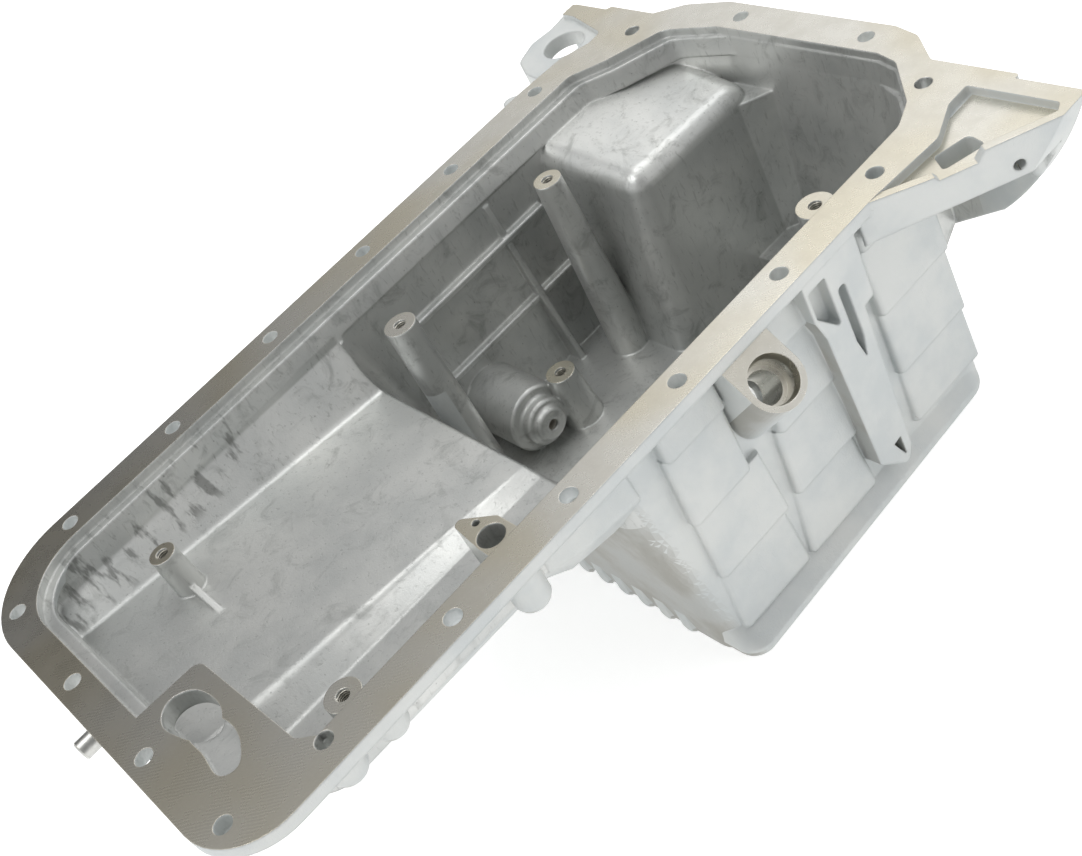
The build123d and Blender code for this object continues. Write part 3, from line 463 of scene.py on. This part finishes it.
# %% The thread's node tree
def thread_tree():
    """Spiral ridge set on every point of the mesh that it is given."""
    tree = bpy.data.node_groups.new("Tapped thread", "GeometryNodeTree")
    sockets = tree.interface
    sockets.new_socket("Geometry", in_out="INPUT", socket_type="NodeSocketGeometry")
    for name in ("Bore radius", "Pitch", "Turns", "Ridge"):
        sockets.new_socket(name, in_out="INPUT", socket_type="NodeSocketFloat")
    sockets.new_socket("Axis turn", in_out="INPUT", socket_type="NodeSocketRotation")
    sockets.new_socket("Finish", in_out="INPUT", socket_type="NodeSocketMaterial")
    sockets.new_socket("Geometry", in_out="OUTPUT", socket_type="NodeSocketGeometry")
    given = put(tree, "NodeGroupInput").outputs
    depth = put(tree, "ShaderNodeMath", {0: given["Pitch"], 1: given["Turns"]}, operation="MULTIPLY")
    spiral = put(tree, "GeometryNodeCurveSpiral", {
        "Resolution": 24, "Rotations": given["Turns"], "Start Radius": given["Bore radius"],
        "End Radius": given["Bore radius"], "Height": depth})
    spiral = put(tree, "GeometryNodeSetCurveNormal", {"Curve": spiral}, mode="Z_UP")
    ridge = put(tree, "GeometryNodeCurvePrimitiveCircle", {"Resolution": 4, "Radius": given["Ridge"]})
    helix = put(tree, "GeometryNodeCurveToMesh", {
        "Curve": spiral, "Profile Curve": ridge, "Fill Caps": True})
    copies = put(tree, "GeometryNodeInstanceOnPoints", {
        "Points": given["Geometry"], "Instance": helix, "Rotation": given["Axis turn"]})
    whole = put(tree, "GeometryNodeRealizeInstances", {0: copies})
    done = put(tree, "GeometryNodeSetMaterial", {"Geometry": whole, "Material": given["Finish"]})
    put(tree, "NodeGroupOutput", {0: done})
    return tree


THREAD = thread_tree()
print("thread nodes", len(THREAD.nodes))

# %% [markdown]
# The tap leaves fresh metal, so the thread is bright aluminium, fully metallic, with a little of the
# mottle that the milled flats have.

# %% The thread's finish
THREAD_FINISH, thread_shading = new_material("Tapped aluminium thread")
thread_place = put(thread_shading, "ShaderNodeTexCoord").outputs["Object"]
thread_noise = put(thread_shading, "ShaderNodeTexNoise", {
    "Vector": thread_place, "Scale": 1 / MOTTLE, "Detail": 3.0, "Roughness": 0.5, "Distortion": 0.0})
thread_mottle = put(thread_shading, "ShaderNodeMapRange", {
    "Value": thread_noise, "From Min": 0.35, "From Max": 0.65}, interpolation_type="SMOOTHSTEP")
thread_colour = put(thread_shading, "ShaderNodeMix", {
    0: thread_mottle, 6: linear("#d6d3ca"), 7: linear("#bdb9ae")}, data_type="RGBA")
thread_shader = put(thread_shading, "ShaderNodeBsdfPrincipled", {
    "Base Color": thread_colour, "Metallic": 1.0, "Roughness": 0.32})
put(thread_shading, "ShaderNodeOutputMaterial", {0: thread_shader})
print("thread finish", THREAD_FINISH.name)

# %% [markdown]
# The posts stand upright, so their threads run straight down from each top. The boss lies along Y. The
# ridge is 0.5 mm high with a pitch of 1.25 mm, and its outer half sits in the metal of the wall.

# %% Set the threads
TAP_RADIUS = 0.0034
TAP_PITCH = 0.00125
RIDGE = 0.0005
THREAD_DEPTH = 0.0165
POST_TURNS = 12.6
BOSS_TURNS = 10.0
HIGH_POSTS = ((-0.157, 0.063), (0.009, 0.064), (0.1255, 0.0666), (-0.155, -0.098), (0.156, -0.0994))
LOW_POST = (0.069, 0.052)
BOSS_START = (0.046, 0.0455, -0.117)


def threads(name, starts, turns, axis_turn):
    """One piece with a thread at each start; the spiral runs along the turned +Z."""
    mesh = bpy.data.meshes.new(name)
    mesh.from_pydata(starts, [], [])
    piece = bpy.data.objects.new(name, mesh)
    bpy.context.scene.collection.objects.link(piece)
    modifier = piece.modifiers.new("Thread", "NODES")
    modifier.node_group = THREAD
    values = {"Bore radius": TAP_RADIUS, "Pitch": TAP_PITCH, "Turns": turns, "Ridge": RIDGE,
              "Axis turn": axis_turn, "Finish": THREAD_FINISH}
    for socket in THREAD.interface.items_tree:
        if socket.in_out == "INPUT" and socket.name in values:
            modifier[socket.identifier] = values[socket.name]
    evaluated = piece.evaluated_get(bpy.context.evaluated_depsgraph_get())
    swept = bpy.data.meshes.new_from_object(evaluated)
    piece.modifiers.clear()
    piece.data = swept
    piece.data.materials.clear()
    piece.data.materials.append(THREAD_FINISH)
    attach(piece, "root")
    print(name, "faces", len(piece.data.polygons), "materials", [m.name for m in piece.data.materials])
    return piece


starts = [(x, y, POST_TOP - THREAD_DEPTH) for x, y in HIGH_POSTS]
starts.append((*LOW_POST, LOW_POST_TOP - THREAD_DEPTH))
threads("post_threads", starts, POST_TURNS, (0.0, 0.0, 0.0))
threads("boss_thread", [BOSS_START], BOSS_TURNS, (math.radians(-90), 0.0, 0.0))

# %% [markdown]
# ## Floor and backdrop
# The photograph stands on plain white. A pale floor keeps the part's soft shadow, and the world
# turns white for rays from the lens, so that the background is white without throwing more light on
# the part. Reflections see the white floor too, and above it they see the studio that comes next.

# %% Floor
FLOOR_REACH = 4.0
FLOOR_GAP = 0.0005
FLOOR_GLOW = 0.55

floor_z = cad_box[0][2] - FLOOR_GAP
floor_mesh = bpy.data.meshes.new("studio_floor")
floor_mesh.from_pydata(
    [(-FLOOR_REACH, -FLOOR_REACH, floor_z), (FLOOR_REACH, -FLOOR_REACH, floor_z),
     (FLOOR_REACH, FLOOR_REACH, floor_z), (-FLOOR_REACH, FLOOR_REACH, floor_z)], [], [(0, 1, 2, 3)])
floor = bpy.data.objects.new("studio_floor", floor_mesh)
bpy.context.scene.collection.objects.link(floor)
paper, paper_tree = new_material("White background paper")
seen = put(paper_tree, "ShaderNodeLightPath").outputs
direct = put(paper_tree, "ShaderNodeMath", {0: seen["Is Camera Ray"], 1: seen["Is Transmission Ray"]},
             operation="MAXIMUM")
direct = put(paper_tree, "ShaderNodeMath", {0: direct, 1: seen["Is Glossy Ray"]}, operation="MAXIMUM")
matt = put(paper_tree, "ShaderNodeBsdfDiffuse", {"Color": linear("#f4f4f4")})
glow = put(paper_tree, "ShaderNodeEmission", {"Color": linear("#ffffff"), "Strength": FLOOR_GLOW})
lit = put(paper_tree, "ShaderNodeAddShader", {0: matt, 1: glow})
choice = put(paper_tree, "ShaderNodeMixShader", {0: direct, 1: matt, 2: lit})
put(paper_tree, "ShaderNodeOutputMaterial", {0: choice})
floor_mesh.materials.append(paper)
print("floor height", round(floor_z, 4))

# %% [markdown]
# ## Studio
# The joint face is a mirror of the studio: in the photograph it is nearly white at the rear and dark
# at the front left, so the studio was white all round with one dark gap behind the part. The world
# makes the same: an even white dome, darker towards the gap and a little darker towards the lens. Its
# places were worked out from the brightness along the joint face. Lamps alone could light the part,
# but wide metal flats need something to reflect.

# %% World
GAP_TOWARDS = Vector((0.0, math.cos(math.radians(30)), math.sin(math.radians(30))))
GAP_EDGE, GAP_END = math.radians(3), math.radians(43)
LENS_TOWARDS = Vector((-0.28, -0.74, 0.61)).normalized()
LENS_LEAST, LENS_END = 0.15, math.radians(55)

world = bpy.data.worlds.new("Studio")
bpy.context.scene.world = world
world.use_nodes = True
sky = world.node_tree
sky.nodes.clear()
direction = put(sky, "ShaderNodeTexCoord").outputs["Generated"]
shades = []
for middle, first, last, least in ((GAP_TOWARDS, GAP_EDGE, GAP_END, 0.0),
                                   (LENS_TOWARDS, 0.0, LENS_END, LENS_LEAST)):
    towards = put(sky, "ShaderNodeVectorMath", {0: direction, 1: middle}, operation="DOT_PRODUCT")
    away = put(sky, "ShaderNodeMath", {0: towards.outputs["Value"]}, operation="ARCCOSINE")
    shades.append(put(sky, "ShaderNodeMapRange", {"Value": away, "From Min": first, "From Max": last,
                                                  "To Min": least, "To Max": 1.0}))
light = put(sky, "ShaderNodeMath", {0: shades[0], 1: shades[1]}, operation="MULTIPLY")
seen = put(sky, "ShaderNodeLightPath").outputs
direct = put(sky, "ShaderNodeMath", {0: seen["Is Camera Ray"], 1: seen["Is Transmission Ray"]},
             operation="MAXIMUM")
strength = put(sky, "ShaderNodeMix", {0: direct, 2: light, 3: 1.0}, data_type="FLOAT")
dome = put(sky, "ShaderNodeBackground", {"Color": linear("#ffffff"), "Strength": strength})
put(sky, "ShaderNodeOutputWorld", {0: dome})
print("dark gap towards", [round(c, 2) for c in GAP_TOWARDS])

# %% [markdown]
# ## Soft boxes
# Three weak square lamps lift the sides that the dome leaves flat: one far behind the left side, one
# above the front and one above the rear. The joint face mirrors the first, which is the weakest, and
# the other two stand clear of what it mirrors.


# %% Soft boxes
def soft_box(name, place, aim, size, power):
    """Square area lamp that points at a spot."""
    lamp = bpy.data.lights.new(name, "AREA")
    lamp.shape = "SQUARE"
    lamp.size = size
    lamp.energy = power
    holder = bpy.data.objects.new(name, lamp)
    bpy.context.scene.collection.objects.link(holder)
    holder.location = place
    holder.rotation_euler = (Vector(aim) - Vector(place)).to_track_quat("-Z", "Y").to_euler()
    return holder


soft_box("key_box", (0.85, 0.9, 1.05), (0.0, 0.0, -0.05), 0.9, 0.4)
soft_box("top_box", (-0.51, 0.10, 1.23), (0.05, 0.0, -0.05), 0.7, 4.5)
soft_box("rear_box", (0.62, 0.30, 1.20), (0.05, 0.0, -0.05), 0.7, 2.8)

# %% [markdown]
# ## Camera
# The photograph was taken from the front right, looking down. The camera's place and turn were
# worked out from the bolt holes in the photograph, so they are given here as three axes.

# %% Camera
lens = bpy.data.cameras.new("photo_camera")
lens.sensor_width = 36.0
lens.lens = 50.36
lens.clip_start = 0.01
camera = bpy.data.objects.new("photo_camera", lens)
bpy.context.scene.collection.objects.link(camera)
to_right = Vector((0.66748, -0.62757, -0.40077))
to_top = Vector((0.68534, 0.30731, 0.66021))
backwards = Vector((-0.29116, -0.71534, 0.63522))
turn = Matrix((to_right, to_top, backwards)).transposed()
camera.matrix_world = Matrix.Translation((-0.20603, -0.5562, 0.42098)) @ turn.to_4x4()
bpy.context.scene.camera = camera
bpy.context.scene.view_settings.view_transform = "Standard"
print("camera distance", round(camera.location.length, 3))

# %% Print the imported model's box
print("cad box", [[round(v, 4) for v in c] for c in cad_box])
